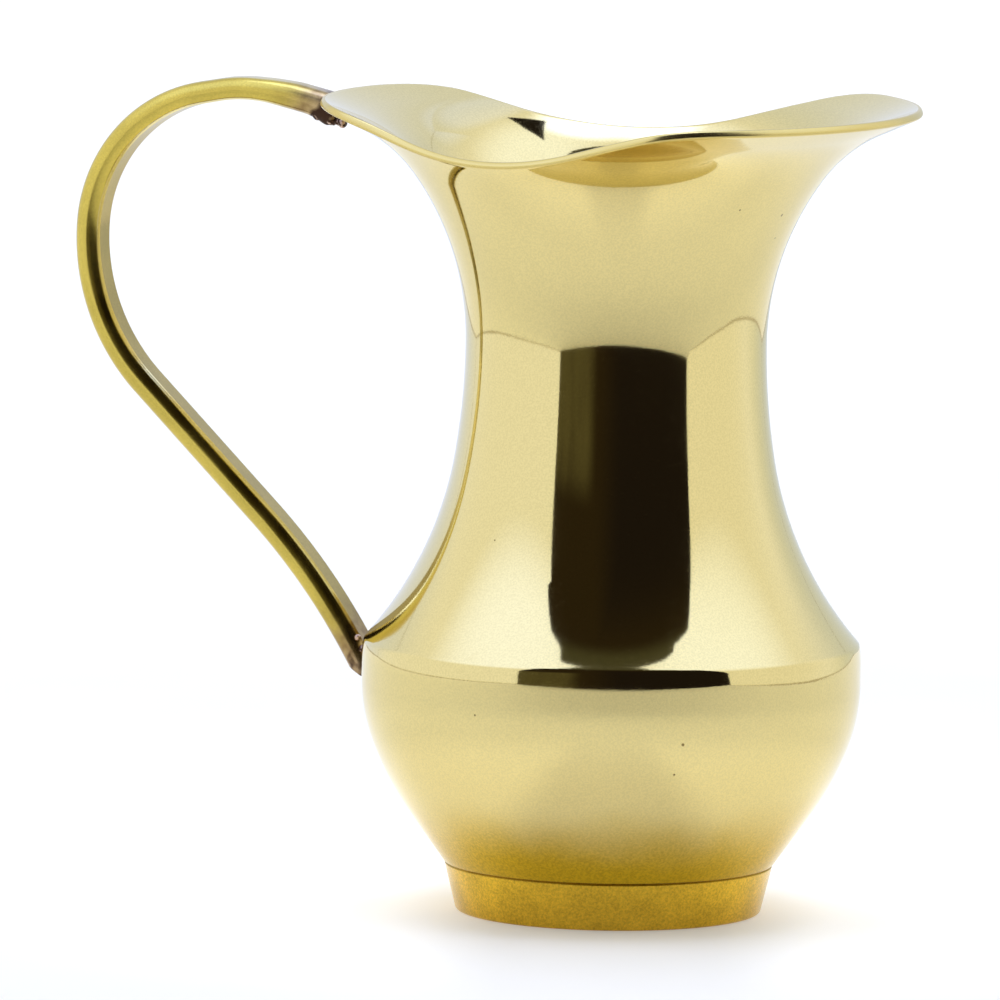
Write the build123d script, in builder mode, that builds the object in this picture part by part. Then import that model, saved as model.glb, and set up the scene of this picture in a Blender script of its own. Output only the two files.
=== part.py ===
from build123d import *
import os
from math import cos, radians, sin, tan

# Small brass water jug with a bent bar handle, all sizes in millimetres.
# The jug's axis is Z, it stands on Z = 0, it pours towards +X and its handle is at -X.

# Sheet of the bowl and neck, and the gap that brazing metal fills between two pieces
wall = 1.2
braze_gap = 0.15

# Foot ring
foot_height = 7.2
foot_top_radius = 24.5
foot_bottom_radius = 22.7
foot_rim = 1.7
foot_edge_round = 0.6
foot_seam_chamfer = 0.25
foot_braze_leg = 1.2

# Bowl: a cone above the foot, two blended curves and a short straight wall
bowl_radius = 37.2
bowl_cone_angle = 35.6
bowl_blend_angle = 21.5
bowl_lower_curve = 47.8
bowl_upper_curve = 27.0
bowl_wall_rise = 2.8
bowl_seam_round = 0.5

# Shoulder: its slightly crowned wall, its rounded edge, and the skirt inside the bowl's wall
crown_curve = 17.5
crown_angle = 8.3
shoulder_round = 1.4
shoulder_angle = 41.2
skirt_depth = 2.0
shoulder_bead = 0.7

# Neck: from the shoulder in to the waist and out again to the lip
waist_radius = 22.4
waist_curve = 105.6
waist_angle = 9.4
flare_curve = 42.3
flare_angle = 35.8
lip_bend_curve = 22.4
lip_angle = 66.0
lip_overhang = 7.9
lip_edge_round = 0.4

# Dip of the lip in side view: corners of its line before they are rounded, and the rounding
dip_depth = 8.5
dip_back_offset = 10.2
dip_back_reach = 40.0
dip_front_reach = 23.6
dip_valley_curve = 63.0
dip_back_curve = 45.0
dip_front_curve = 51.0

# Handle bar: round section cut off to a flat face, which is towards the jug
handle_width = 5.1
handle_thickness = 3.7
handle_edge_round = 0.3

# Handle line along that flat face: its corners, from the bowl up and over to the lip
handle_foot_bury = 3.2
handle_foot_drop = 7.6
handle_foot_angle = 24.1
handle_foot_run = 19.3
handle_side_reach = 83.9
handle_back_reach = 83.1
handle_back_drop = 1.1
handle_tip_run = 17.0
handle_tip_angle = 12.3
handle_lap = 1.9
handle_seat = 0.2

# Handle bends at those corners, and the most of a run between two corners that bends may take
handle_foot_bend = 97.5
handle_side_bend = 29.5
handle_back_bend = 21.6
handle_tip_bend = 21.1
bend_share = 0.99

# Slanting cut of the handle's foot: where its plane meets the bowl's wall, and its slope
handle_end_drop = 4.3
handle_end_angle = 40.0

# Brazed fillets round the two ends of the handle
handle_fillet = 0.9

# Heights and radii that follow from the sizes above
cone_run = (
    bowl_radius
    - foot_top_radius
    - bowl_lower_curve * (cos(radians(bowl_blend_angle)) - cos(radians(bowl_cone_angle)))
    - bowl_upper_curve * (1 - cos(radians(bowl_blend_angle)))
) / sin(radians(bowl_cone_angle))
belly_height = (
    foot_height
    + cone_run * cos(radians(bowl_cone_angle))
    + bowl_lower_curve * (sin(radians(bowl_cone_angle)) - sin(radians(bowl_blend_angle)))
    + bowl_upper_curve * sin(radians(bowl_blend_angle))
)
seam_height = belly_height + bowl_wall_rise
neck_base_curve = (
    bowl_radius
    - waist_radius
    - crown_curve * (1 - cos(radians(crown_angle)))
    - shoulder_round * (cos(radians(crown_angle)) - cos(radians(shoulder_angle)))
    - waist_curve * (1 - cos(radians(waist_angle)))
) / (cos(radians(waist_angle)) - cos(radians(shoulder_angle)))
waist_height = (
    seam_height
    + crown_curve * sin(radians(crown_angle))
    + shoulder_round * (sin(radians(shoulder_angle)) - sin(radians(crown_angle)))
    + neck_base_curve * (sin(radians(shoulder_angle)) - sin(radians(waist_angle)))
    + waist_curve * sin(radians(waist_angle))
)
bend_radius = (
    waist_radius
    + flare_curve * (1 - cos(radians(flare_angle)))
    + lip_bend_curve * (cos(radians(flare_angle)) - cos(radians(lip_angle)))
)
lip_radius = bowl_radius + lip_overhang
lip_run = (lip_radius - bend_radius) / sin(radians(lip_angle))
lip_height = (
    waist_height
    + flare_curve * sin(radians(flare_angle))
    + lip_bend_curve * (sin(radians(lip_angle)) - sin(radians(flare_angle)))
    + lip_run * cos(radians(lip_angle))
)
bowl_bore = bowl_radius - wall
skirt_radius = bowl_bore - braze_gap
skirt_foot = seam_height - skirt_depth
foot_bore = foot_bottom_radius - foot_rim


def bowl_side(grow):
    """Outer line of the bowl, foot seam to shoulder seam, moved outwards by grow."""
    angle = radians(bowl_cone_angle)
    start = Vector(foot_top_radius + grow * cos(angle), foot_height - grow * sin(angle))
    cone = PolarLine(start, cone_run, direction=(sin(angle), cos(angle)))
    lower = JernArc(cone @ 1, cone % 1, bowl_lower_curve + grow, bowl_cone_angle - bowl_blend_angle)
    upper = JernArc(lower @ 1, lower % 1, bowl_upper_curve + grow, bowl_blend_angle)
    top = Line(upper @ 1, (upper @ 1) + Vector(0, bowl_wall_rise))
    return start, top @ 1


def neck_side(grow):
    """Outer line of the neck, shoulder seam to a little past the lip, moved outwards by grow."""
    start = Vector(bowl_radius + grow, seam_height)
    crown = JernArc(start, (0, 1), crown_curve + grow, crown_angle)
    shoulder = JernArc(crown @ 1, crown % 1, shoulder_round + grow, shoulder_angle - crown_angle)
    base = JernArc(shoulder @ 1, shoulder % 1, neck_base_curve - grow, waist_angle - shoulder_angle)
    waist = JernArc(base @ 1, base % 1, waist_curve - grow, -waist_angle)
    flare = JernArc(waist @ 1, waist % 1, flare_curve - grow, -flare_angle)
    bend = JernArc(flare @ 1, flare % 1, lip_bend_curve - grow, flare_angle - lip_angle)
    lip = PolarLine(bend @ 1, lip_run + 2 * wall, direction=bend % 1)
    return start, lip @ 1


def jug_form(grow):
    """Solid form of the jug's outside, without the dip of its lip, grown by grow."""
    with BuildPart() as form:
        with BuildSketch(Plane.XZ):
            with BuildLine():
                foot = bowl_side(grow)[0]
                lip = neck_side(grow)[1]
                Polyline(lip, (0, lip.Y), (0, foot.Y), foot)
            make_face()
        revolve(axis=Axis.Z)
    return form.part


def fitted_bends(corners, bends):
    """Bend radii at the inner corners, reduced where the runs beside them are too short."""
    runs = [corners[i + 1] - corners[i] for i in range(len(corners) - 1)]
    turns = [runs[i].get_angle(runs[i + 1]) for i in range(len(bends))]
    reach = [0] + [bend * tan(radians(turn / 2)) for bend, turn in zip(bends, turns)] + [0]
    room = [bend_share * run.length / (reach[i] + reach[i + 1]) for i, run in enumerate(runs)]
    return [bend * min(1, room[i], room[i + 1]) for i, bend in enumerate(bends)]


# Foot ring, with a small chamfer that shows as the seam under the bowl
with BuildPart() as foot_ring:
    with BuildSketch(Plane.XZ):
        Polygon(
            (foot_bore, 0),
            (foot_bottom_radius, 0),
            (foot_top_radius, foot_height),
            (foot_bore, foot_height),
            align=None,
        )
    revolve(axis=Axis.Z)
    foot_circles = foot_ring.edges().filter_by(GeomType.CIRCLE)
    fillet(foot_circles.group_by(Axis.Z)[0].sort_by(SortBy.RADIUS)[-1], radius=foot_edge_round)
    chamfer(foot_circles.group_by(Axis.Z)[-1].sort_by(SortBy.RADIUS)[-1], length=foot_seam_chamfer)
foot_ring.part.label = "foot_ring"

# Bowl, shelled from its outer form, with its own floor and open at the shoulder
with BuildPart() as bowl:
    with BuildSketch(Plane.XZ):
        with BuildLine():
            bowl_foot, bowl_top = bowl_side(0)
            Polyline(bowl_top, (0, bowl_top.Y), (0, bowl_foot.Y), bowl_foot)
        make_face()
    revolve(axis=Axis.Z)
    offset(amount=-wall, openings=bowl.faces().sort_by(Axis.Z)[-1])
    fillet(bowl.edges().filter_by(GeomType.CIRCLE).group_by(Axis.Z)[0], radius=bowl_seam_round)
bowl.part.label = "bowl"

# Brazed fillet under the bowl's floor, inside the foot ring
with BuildPart() as foot_braze:
    with BuildSketch(Plane.XZ):
        with BuildLine():
            hollow = JernArc((foot_bore - foot_braze_leg, foot_height), (1, 0), foot_braze_leg, -90)
            Polyline(hollow @ 1, (foot_bore, foot_height), hollow @ 0)
        make_face()
    revolve(axis=Axis.Z)
foot_braze.part.label = "foot_braze"

# Solid form of the neck, with the dip of the lip cut straight across it
with BuildPart() as neck_form:
    with BuildSketch(Plane.XZ):
        with BuildLine():
            neck_start, neck_end = neck_side(0)
            Polyline(neck_end, (0, neck_end.Y), (0, neck_start.Y), neck_start)
        make_face()
    revolve(axis=Axis.Z)
    with BuildSketch(Plane.XZ):
        with BuildLine():
            dip = FilletPolyline(
                (-2 * lip_radius, lip_height),
                (-dip_back_reach, lip_height),
                (-dip_back_offset, lip_height - dip_depth),
                (dip_front_reach, lip_height),
                (2 * lip_radius, lip_height),
                radius=[dip_back_curve, dip_valley_curve, dip_front_curve],
            )
            Polyline(
                dip @ 1,
                (2 * lip_radius, lip_height + lip_radius),
                (-2 * lip_radius, lip_height + lip_radius),
                dip @ 0,
            )
        make_face()
    extrude(amount=2 * lip_radius, both=True, mode=Mode.SUBTRACT)

# Neck: the outside of that form, thickened inwards so that the lip's edge is square to the
# sheet, and stepped in at its foot to a skirt that fits inside the bowl
turned_faces = neck_form.faces().filter_by(GeomType.PLANE, reverse=True)
turned_faces = turned_faces.filter_by(GeomType.CYLINDER, reverse=True)
neck_sheet = Solid.thicken(Shell(turned_faces), -wall)
step_reach = crown_curve - wall / 2
step_top = (
    bowl_radius - crown_curve + step_reach * cos(radians(crown_angle)),
    seam_height + step_reach * sin(radians(crown_angle)),
)
with BuildPart() as neck:
    add(neck_sheet)
    with BuildSketch(Plane.XZ):
        Polygon(
            (skirt_radius - wall, skirt_foot),
            (skirt_radius, skirt_foot),
            (skirt_radius, seam_height),
            (bowl_radius - wall / 2, seam_height),
            step_top,
            (skirt_radius - wall, seam_height),
            align=None,
        )
    revolve(axis=Axis.Z)
    spout_tip = Vector(lip_radius, 0, lip_height)
    fillet(neck.edges().sort_by_distance(spout_tip)[:2], radius=lip_edge_round)
neck.part.label = "neck"

# Brazing metal between the skirt and the bowl's wall, with a bead under the skirt
with BuildPart() as shoulder_braze:
    with BuildSketch(Plane.XZ):
        Polygon(
            (skirt_radius, seam_height),
            (bowl_bore, seam_height),
            (bowl_bore, skirt_foot - shoulder_bead),
            (skirt_radius - shoulder_bead, skirt_foot),
            (skirt_radius, skirt_foot),
            align=None,
        )
    revolve(axis=Axis.Z)
shoulder_braze.part.label = "shoulder_braze"

# Line of the handle, bent at its corners between its seat on the bowl and its seat under the lip
tip_end = Vector(
    handle_lap - lip_radius,
    lip_height - handle_lap / tan(radians(lip_angle)) - handle_thickness + handle_seat,
)
foot_end = Vector(handle_foot_bury - bowl_radius, belly_height - handle_foot_drop)
foot_lean = radians(handle_foot_angle)
tip_lean = radians(handle_tip_angle)
handle_corners = [
    foot_end,
    foot_end + handle_foot_run * Vector(-sin(foot_lean), cos(foot_lean)),
    Vector(-handle_side_reach, waist_height),
    Vector(-handle_back_reach, tip_end.Y - handle_back_drop),
    tip_end + handle_tip_run * Vector(-cos(tip_lean), sin(tip_lean)),
    tip_end,
]
handle_bends = [handle_foot_bend, handle_side_bend, handle_back_bend, handle_tip_bend]
with BuildLine(Plane.XZ) as handle_line:
    FilletPolyline(
        *[(corner.X, corner.Y) for corner in handle_corners],
        radius=fitted_bends(handle_corners, handle_bends),
    )
handle_path = handle_line.line
handle_start = Plane(handle_path @ 0, x_dir=(0, 1, 0), z_dir=handle_path % 0)
end_slope = radians(handle_end_angle)
handle_end = Plane(
    (-bowl_radius, 0, belly_height - handle_end_drop),
    x_dir=(0, 1, 0),
    z_dir=(sin(end_slope), 0, cos(end_slope)),
)


def swept_bar(grow):
    """Bar with one flat side along the handle's line, grown all round by grow."""
    half = handle_width / 2 + grow
    with BuildPart() as bar:
        with BuildSketch(handle_start):
            with BuildLine():
                flat = Line((-half, -grow), (half, -grow))
                ThreePointArc(flat @ 1, (0, handle_thickness + grow), flat @ 0)
            make_face()
            fillet(vertices(), radius=handle_edge_round + grow)
        sweep(path=handle_path)
        split(bisect_by=handle_end.offset(-grow), keep=Keep.TOP)
    return bar.part


# Handle, with both ends cut to the jug's outside less the brazing gap
with BuildPart() as handle:
    add(swept_bar(0))
    add(jug_form(braze_gap), mode=Mode.SUBTRACT)
handle.part.label = "handle"

# Brazing metal round both ends of the handle, up to the edge of the lip
with BuildPart() as handle_brazing:
    add(swept_bar(handle_fillet))
    add(jug_form(braze_gap + handle_fillet), mode=Mode.INTERSECT)
    Cylinder(lip_radius - lip_edge_round, 3 * lip_height, mode=Mode.INTERSECT)
    add(jug_form(0), mode=Mode.SUBTRACT)
    add(handle.part, mode=Mode.SUBTRACT)

with BuildPart() as lower_handle_braze:
    add(handle_brazing.part)
    split(bisect_by=Plane.XY.offset(waist_height), keep=Keep.BOTTOM)
lower_handle_braze.part.label = "lower_handle_braze"

with BuildPart() as upper_handle_braze:
    add(handle_brazing.part)
    split(bisect_by=Plane.XY.offset(waist_height), keep=Keep.TOP)
upper_handle_braze.part.label = "upper_handle_braze"

os.makedirs("parts", exist_ok=True)
export_step(foot_ring.part, "parts/foot_ring.step")
export_step(bowl.part, "parts/bowl.step")
export_step(neck.part, "parts/neck.step")
export_step(handle.part, "parts/handle.step")
export_step(foot_braze.part, "parts/foot_braze.step")
export_step(shoulder_braze.part, "parts/shoulder_braze.step")
export_step(lower_handle_braze.part, "parts/lower_handle_braze.step")
export_step(upper_handle_braze.part, "parts/upper_handle_braze.step")
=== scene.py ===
from bisect import bisect_left
from math import acos, atan2, cos, degrees, hypot, pi, radians, sin, tan

import bmesh
import bpy
from mathutils import Matrix, Vector, noise


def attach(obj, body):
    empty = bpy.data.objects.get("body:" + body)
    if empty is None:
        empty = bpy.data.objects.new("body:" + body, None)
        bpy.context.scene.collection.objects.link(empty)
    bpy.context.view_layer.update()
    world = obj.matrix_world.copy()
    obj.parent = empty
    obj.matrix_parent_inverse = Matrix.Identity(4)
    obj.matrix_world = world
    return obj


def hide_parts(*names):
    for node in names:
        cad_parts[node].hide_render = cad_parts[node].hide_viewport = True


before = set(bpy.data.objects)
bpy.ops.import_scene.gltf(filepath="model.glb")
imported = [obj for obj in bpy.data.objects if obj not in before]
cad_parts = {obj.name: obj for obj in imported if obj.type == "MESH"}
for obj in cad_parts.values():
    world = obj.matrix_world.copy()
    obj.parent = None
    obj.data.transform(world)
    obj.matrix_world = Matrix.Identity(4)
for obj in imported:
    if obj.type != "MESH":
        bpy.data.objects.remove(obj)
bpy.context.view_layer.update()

# Small brass water jug, sizes in millimetres and degrees as in its construction
MM = 0.001
wall = 1.2
braze_gap = 0.15

foot_height = 7.2
foot_top_radius = 24.5
foot_bottom_radius = 22.7
foot_rim = 1.7
foot_edge_round = 0.6
foot_round_begin = -85.0
foot_seam_chamfer = 0.25

bowl_radius = 37.2
bowl_cone_angle = 35.6
bowl_blend_angle = 21.5
bowl_lower_curve = 47.8
bowl_upper_curve = 27.0
bowl_wall_rise = 2.8
bowl_seam_round = 0.5

crown_curve = 17.5
crown_angle = 8.3
shoulder_round = 1.4
shoulder_angle = 41.2
skirt_depth = 2.0

waist_radius = 22.4
waist_curve = 105.6
waist_angle = 9.4
flare_curve = 42.3
flare_angle = 35.8
lip_bend_curve = 22.4
lip_angle = 66.0
lip_overhang = 7.9
lip_edge_round = 0.4

dip_depth = 8.5
dip_back_offset = 10.2
dip_back_reach = 40.0
dip_front_reach = 23.6
dip_valley_curve = 63.0
dip_back_curve = 45.0
dip_front_curve = 51.0

handle_thickness = 3.7
handle_foot_bury = 3.2
handle_foot_drop = 7.6
handle_foot_angle = 24.1
handle_foot_run = 19.3
handle_side_reach = 83.9
handle_back_reach = 83.1
handle_back_drop = 1.1
handle_tip_run = 17.0
handle_tip_angle = 12.3
handle_lap = 1.9
handle_seat = 0.2
handle_bends = (97.5, 29.5, 21.6, 21.1)
bend_share = 0.99

# Forged handle: thicker below than over the top, its worn width and edges, and its shift
handle_thick = 4.1
handle_thin = 3.28
handle_worn_width = 6.0
handle_edge_turn = 24.7
handle_shift = 0.33

# Tip of the handle: its swelling, the brazing metal that hangs under it, and its rounded end
tip_swell = 0.6
tip_swell_begin = 16.0
tip_swell_end = 9.0
tip_drip = 0.75
tip_drip_begin = 7.5
tip_drip_end = 3.0
tip_drip_share = 0.6
tip_trim = 1.3
tip_round = 1.4
tip_narrow = 0.6
tip_grain = 0.4
tip_grain_wave = 1.1

# Lower end of the handle: its slanting cut, and the gap of the bar's fit against the jug
handle_cut_drop = 2.7
handle_cut_angle = 27.0
handle_gap = 0.05

# Sizes that follow from these
lip_radius = bowl_radius + lip_overhang
skirt_radius = bowl_radius - wall - braze_gap
foot_bore = foot_bottom_radius - foot_rim

# Fineness of the meshes: points round the axis, spacing along lines, and turn of one step of an arc
around = 288
step = 0.45
floor_step = 4 * step
dip_step = step / 4
arc_step = 3.0

# Steps of a rounded corner, of half the lip's edge, and from one point to the next inside the neck
corner_steps = 5
edge_steps = 4
inner_step = 2

# Halvings in the search for the lip's edge, and share of a step by which the bar's ends are cut back
halvings = 40
trim_step = 0.05

# Edges that turn further than this, in degrees, stay sharp: on the sheet, the bar and the brazes
sheet_sharp = 35.0
bar_sharp = 20.0
braze_sharp = 180.0

# Unevenness of the hand-polished sheet: its wave lengths, heights and places in the noise
broad_wave = 26.0
broad_height = 0.03
broad_offset = Vector((3.1, 7.7, 1.3))
fine_wave = 9.0
fine_height = 0.004
fine_offset = Vector((9.4, 2.2, 5.8))


def run(line, length):
    """Adds a straight run to a line of (radius, height, heading in degrees from +Z outwards)."""
    r, z, heading = line[-1]
    lean = radians(heading)
    count = max(1, round(length / step))
    for i in range(1, count + 1):
        part = length * i / count
        line.append((r + part * sin(lean), z + part * cos(lean), heading))


def bend(line, radius, turn):
    """Adds a tangent arc to such a line. A positive turn leans further outwards."""
    r, z, heading = line[-1]
    side = 1 if turn > 0 else -1
    centre_r = r + side * radius * cos(radians(heading))
    centre_z = z - side * radius * sin(radians(heading))
    count = max(2, round(radius * radians(abs(turn)) / step), round(abs(turn) / arc_step))
    for i in range(1, count + 1):
        lean = heading + turn * i / count
        line.append(
            (
                centre_r - side * radius * cos(radians(lean)),
                centre_z + side * radius * sin(radians(lean)),
                lean,
            )
        )


def inside(line):
    """The same line one wall further in."""
    return [(r - wall * cos(radians(h)), z + wall * sin(radians(h)), h) for r, z, h in line]


def bowl_line():
    """Outer line of the bowl, from the foot seam to the shoulder seam."""
    line = [(foot_top_radius, foot_height, bowl_cone_angle)]
    blends = bowl_lower_curve * (cos(radians(bowl_blend_angle)) - cos(radians(bowl_cone_angle)))
    blends += bowl_upper_curve * (1 - cos(radians(bowl_blend_angle)))
    run(line, (bowl_radius - foot_top_radius - blends) / sin(radians(bowl_cone_angle)))
    bend(line, bowl_lower_curve, bowl_blend_angle - bowl_cone_angle)
    bend(line, bowl_upper_curve, -bowl_blend_angle)
    run(line, bowl_wall_rise)
    return line


def neck_line(start):
    """Outer line of the neck, from the shoulder seam to the full height of the lip."""
    line = [start]
    crown, edge = radians(crown_angle), radians(shoulder_angle)
    curves = crown_curve * (1 - cos(crown)) + shoulder_round * (cos(crown) - cos(edge))
    curves += waist_curve * (1 - cos(radians(waist_angle)))
    base_curve = (bowl_radius - waist_radius - curves) / (cos(radians(waist_angle)) - cos(edge))
    bend(line, crown_curve, -crown_angle)
    bend(line, shoulder_round, crown_angle - shoulder_angle)
    bend(line, base_curve, shoulder_angle - waist_angle)
    bend(line, waist_curve, waist_angle)
    bend(line, flare_curve, flare_angle)
    bend(line, lip_bend_curve, lip_angle - flare_angle)
    run(line, (lip_radius - line[-1][0]) / sin(radians(lip_angle)))
    return line


bowl_outer = bowl_line()
belly_height = bowl_outer[-1][1] - bowl_wall_rise
seam_height = bowl_outer[-1][1]
neck_outer = neck_line(bowl_outer[-1])
lip_height = neck_outer[-1][1]
waist_height = min(neck_outer, key=lambda point: point[0])[1]


def rounded(corners, bends, spacing):
    """Points with directions along a line in the XZ plane whose inner corners are bent to radii."""
    points = []
    begin = Vector(corners[0])
    for before, corner, after, radius in zip(corners, corners[1:], corners[2:], bends):
        into = (Vector(corner) - Vector(before)).normalized()
        out = (Vector(after) - Vector(corner)).normalized()
        turn = acos(max(-1.0, min(1.0, into.dot(out))))
        side = 1 if into.x * out.y - into.y * out.x > 0 else -1
        first = Vector(corner) - into * radius * tan(turn / 2)
        points += straight(begin, first, spacing)
        centre = first + Vector((-into.y, into.x)) * side * radius
        count = max(2, round(radius * turn / spacing))
        start_angle = atan2(first.y - centre.y, first.x - centre.x)
        for i in range(count):
            angle = start_angle + side * turn * i / count
            place = centre + radius * Vector((cos(angle), sin(angle)))
            points.append((place, side * Vector((-sin(angle), cos(angle)))))
        begin = Vector(corner) + out * radius * tan(turn / 2)
    last = Vector(corners[-1])
    points += straight(begin, last, spacing)
    points.append((last, (last - begin).normalized()))
    return points


def straight(begin, end, spacing):
    """Points with directions along a straight run, without its end."""
    direction = (end - begin).normalized()
    count = max(1, round((end - begin).length / spacing))
    return [(begin.lerp(end, i / count), direction) for i in range(count)]


dip_line = rounded(
    [
        (-2 * lip_radius, lip_height),
        (-dip_back_reach, lip_height),
        (-dip_back_offset, lip_height - dip_depth),
        (dip_front_reach, lip_height),
        (2 * lip_radius, lip_height),
    ],
    [dip_back_curve, dip_valley_curve, dip_front_curve],
    dip_step,
)
dip_across = [place.x for place, _ in dip_line]


def dip_height(x):
    """Height of the lip's outer edge at a distance x along the jug."""
    i = min(max(bisect_left(dip_across, x), 1), len(dip_line) - 1)
    a, b = dip_line[i - 1][0], dip_line[i][0]
    return a.y + (b.y - a.y) * (x - a.x) / (b.x - a.x)


def along(line, place):
    """Point of a line at a fractional index."""
    i = min(max(int(place), 0), len(line) - 2)
    share = place - i
    return tuple(p + (q - p) * share for p, q in zip(line[i], line[i + 1]))


def unevenness(point):
    """Outward departure of the hand-polished sheet from its true form, in millimetres."""
    broad = noise.noise(Vector(point) / broad_wave + broad_offset)
    fine = noise.noise(Vector(point) / fine_wave + fine_offset)
    return broad_height * broad + fine_height * fine


def turned(radius, height, angle):
    """Point on the jug at an angle about its axis, with the sheet's unevenness."""
    out = radius + unevenness((radius * cos(angle), radius * sin(angle), height))
    return (out * cos(angle) * MM, out * sin(angle) * MM, height * MM)


def new_piece(name, points, faces, sharp_angle=sheet_sharp):
    """Smooth-shaded mesh object from points in metres, with edges sharper than an angle kept sharp."""
    mesh = bpy.data.meshes.new(name)
    mesh.from_pydata(points, [], faces)
    form = bmesh.new()
    form.from_mesh(mesh)
    bmesh.ops.recalc_face_normals(form, faces=form.faces)
    form.to_mesh(mesh)
    form.free()
    mesh.shade_smooth()
    mesh.set_sharp_from_angle(angle=radians(sharp_angle))
    piece = bpy.data.objects.new(name, mesh)
    bpy.context.scene.collection.objects.link(piece)
    return piece


def ring_faces(rings, count):
    """Quads between rings of count points, each ring closed."""
    faces = []
    for i in range(rings - 1):
        for k in range(count):
            a = i * count + k
            b = i * count + (k + 1) % count
            faces.append((a, b, b + count, a + count))
    return faces


def closing_faces(rings):
    """Quads from the last ring about the axis back to the first."""
    last = (rings - 1) * around
    faces = []
    for k in range(around):
        following = (k + 1) % around
        faces.append((last + k, last + following, following, k))
    return faces


def spun(name, outline, on_axis=False):
    """Solid of revolution of an outline, closed on itself or with both its ends on the axis."""
    kept = outline[1:-1] if on_axis else outline
    points = []
    for r, z in kept:
        points += [turned(r, z, 2 * pi * k / around) for k in range(around)]
    rings = len(kept)
    faces = ring_faces(rings, around)
    if not on_axis:
        return new_piece(name, points, faces + closing_faces(rings))
    low, high = len(points), len(points) + 1
    points += [(0, 0, outline[0][1] * MM), (0, 0, outline[-1][1] * MM)]
    last = (rings - 1) * around
    for k in range(around):
        following = (k + 1) % around
        faces.append((low, following, k))
        faces.append((high, last + k, last + following))
    return new_piece(name, points, faces)


def add_arc(outline, radius, centre, begin, end):
    """Adds an arc in radius and height, from one angle in degrees to another, to an outline."""
    for i in range(corner_steps + 1):
        angle = radians(begin + (end - begin) * i / corner_steps)
        outline.append((centre[0] + radius * cos(angle), centre[1] + radius * sin(angle)))


def spread(begin, end, spacing):
    """Points along a straight stretch of an outline, without its ends."""
    count = max(1, round(hypot(end[0] - begin[0], end[1] - begin[1]) / spacing))
    return [
        tuple(p + (q - p) * i / count for p, q in zip(begin, end))
        for i in range(1, count)
    ]


def make_foot_ring():
    """Turned ring with a rounded lower edge and a fine chamfer under the bowl."""
    lean = (foot_top_radius - foot_bottom_radius) / foot_height
    outline = [(foot_bore, foot_height), (foot_bore, 0.0)]
    outline[1:1] = spread(outline[0], outline[1], step)
    outline.append((foot_bottom_radius - foot_edge_round, 0.0))
    add_arc(
        outline,
        foot_edge_round,
        (foot_bottom_radius - foot_edge_round + lean * foot_edge_round, foot_edge_round),
        foot_round_begin,
        -degrees(atan2(lean, 1)),
    )
    side_top = (foot_top_radius - foot_seam_chamfer * lean, foot_height - foot_seam_chamfer)
    outline += spread(outline[-1], side_top, step)
    outline.append(side_top)
    outline.append((foot_top_radius - foot_seam_chamfer, foot_height))
    return spun("turned_foot_ring", outline)


def make_bowl():
    """Lower shell with its own closed floor."""
    lean = radians(bowl_cone_angle)
    half = (pi / 2 + lean) / 2
    reach = bowl_seam_round / tan(half)
    centre = (foot_top_radius - reach, foot_height + bowl_seam_round)
    outline = [(0.0, foot_height)]
    outline += spread(outline[0], (foot_top_radius - reach, foot_height), floor_step)
    downwards = -90
    add_arc(outline, bowl_seam_round, centre, downwards, -bowl_cone_angle)
    outline += [(r, z) for r, z, _ in bowl_outer if z > outline[-1][1] + step / 2]
    inner = [(r, z) for r, z, _ in inside(bowl_outer)]
    floor_height = foot_height + wall
    inner = [point for point in inner if point[1] > floor_height + step / 2]
    outline += spread(outline[-1], inner[-1], step)
    outline += inner[::-1]
    floor_edge = (inner[0][0] - (inner[0][1] - floor_height) * tan(lean), floor_height)
    outline.append(floor_edge)
    outline += spread(floor_edge, (0.0, floor_height), floor_step)
    outline.append((0.0, floor_height))
    return spun("spun_bowl", outline, on_axis=True)


def lip_place(angle):
    """Fractional index along the neck's outer line where the dip of the lip cuts it at an angle."""
    low, high = 0.0, len(neck_outer) - 1.0
    for _ in range(halvings):
        middle = (low + high) / 2
        r, z, _ = along(neck_outer, middle)
        if z < dip_height(r * cos(angle)):
            low = middle
        else:
            high = middle
    return low


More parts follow.
